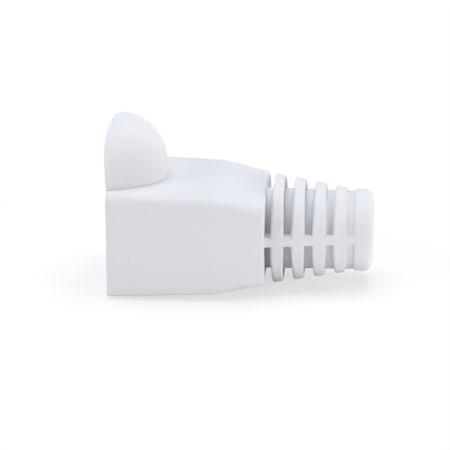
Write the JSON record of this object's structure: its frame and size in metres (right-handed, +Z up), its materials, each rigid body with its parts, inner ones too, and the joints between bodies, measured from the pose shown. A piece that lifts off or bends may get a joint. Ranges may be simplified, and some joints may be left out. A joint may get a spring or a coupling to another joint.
{
  "type": "rj45 strain relief boot",
  "caption": "Soft one-piece boot for a modular plug: a drafted housing, a hollow latch hood open to the front, and a tapered finned barrel with a cable bore.",
  "frame": {"origin": "centre of the cable bore at the barrel's rear opening", "axes": "+X along the cable bore, out of the barrel; +Z up, the latch side; +Y across, to the left when looking along +X"},
  "size_m": [0.0245, 0.0136, 0.0158],
  "materials": {
    "soft_pvc": "white soft PVC, satin as moulded"
  },
  "bodies": {
    "root": {"boot": "soft_pvc"}
  },
  "joints": []
}
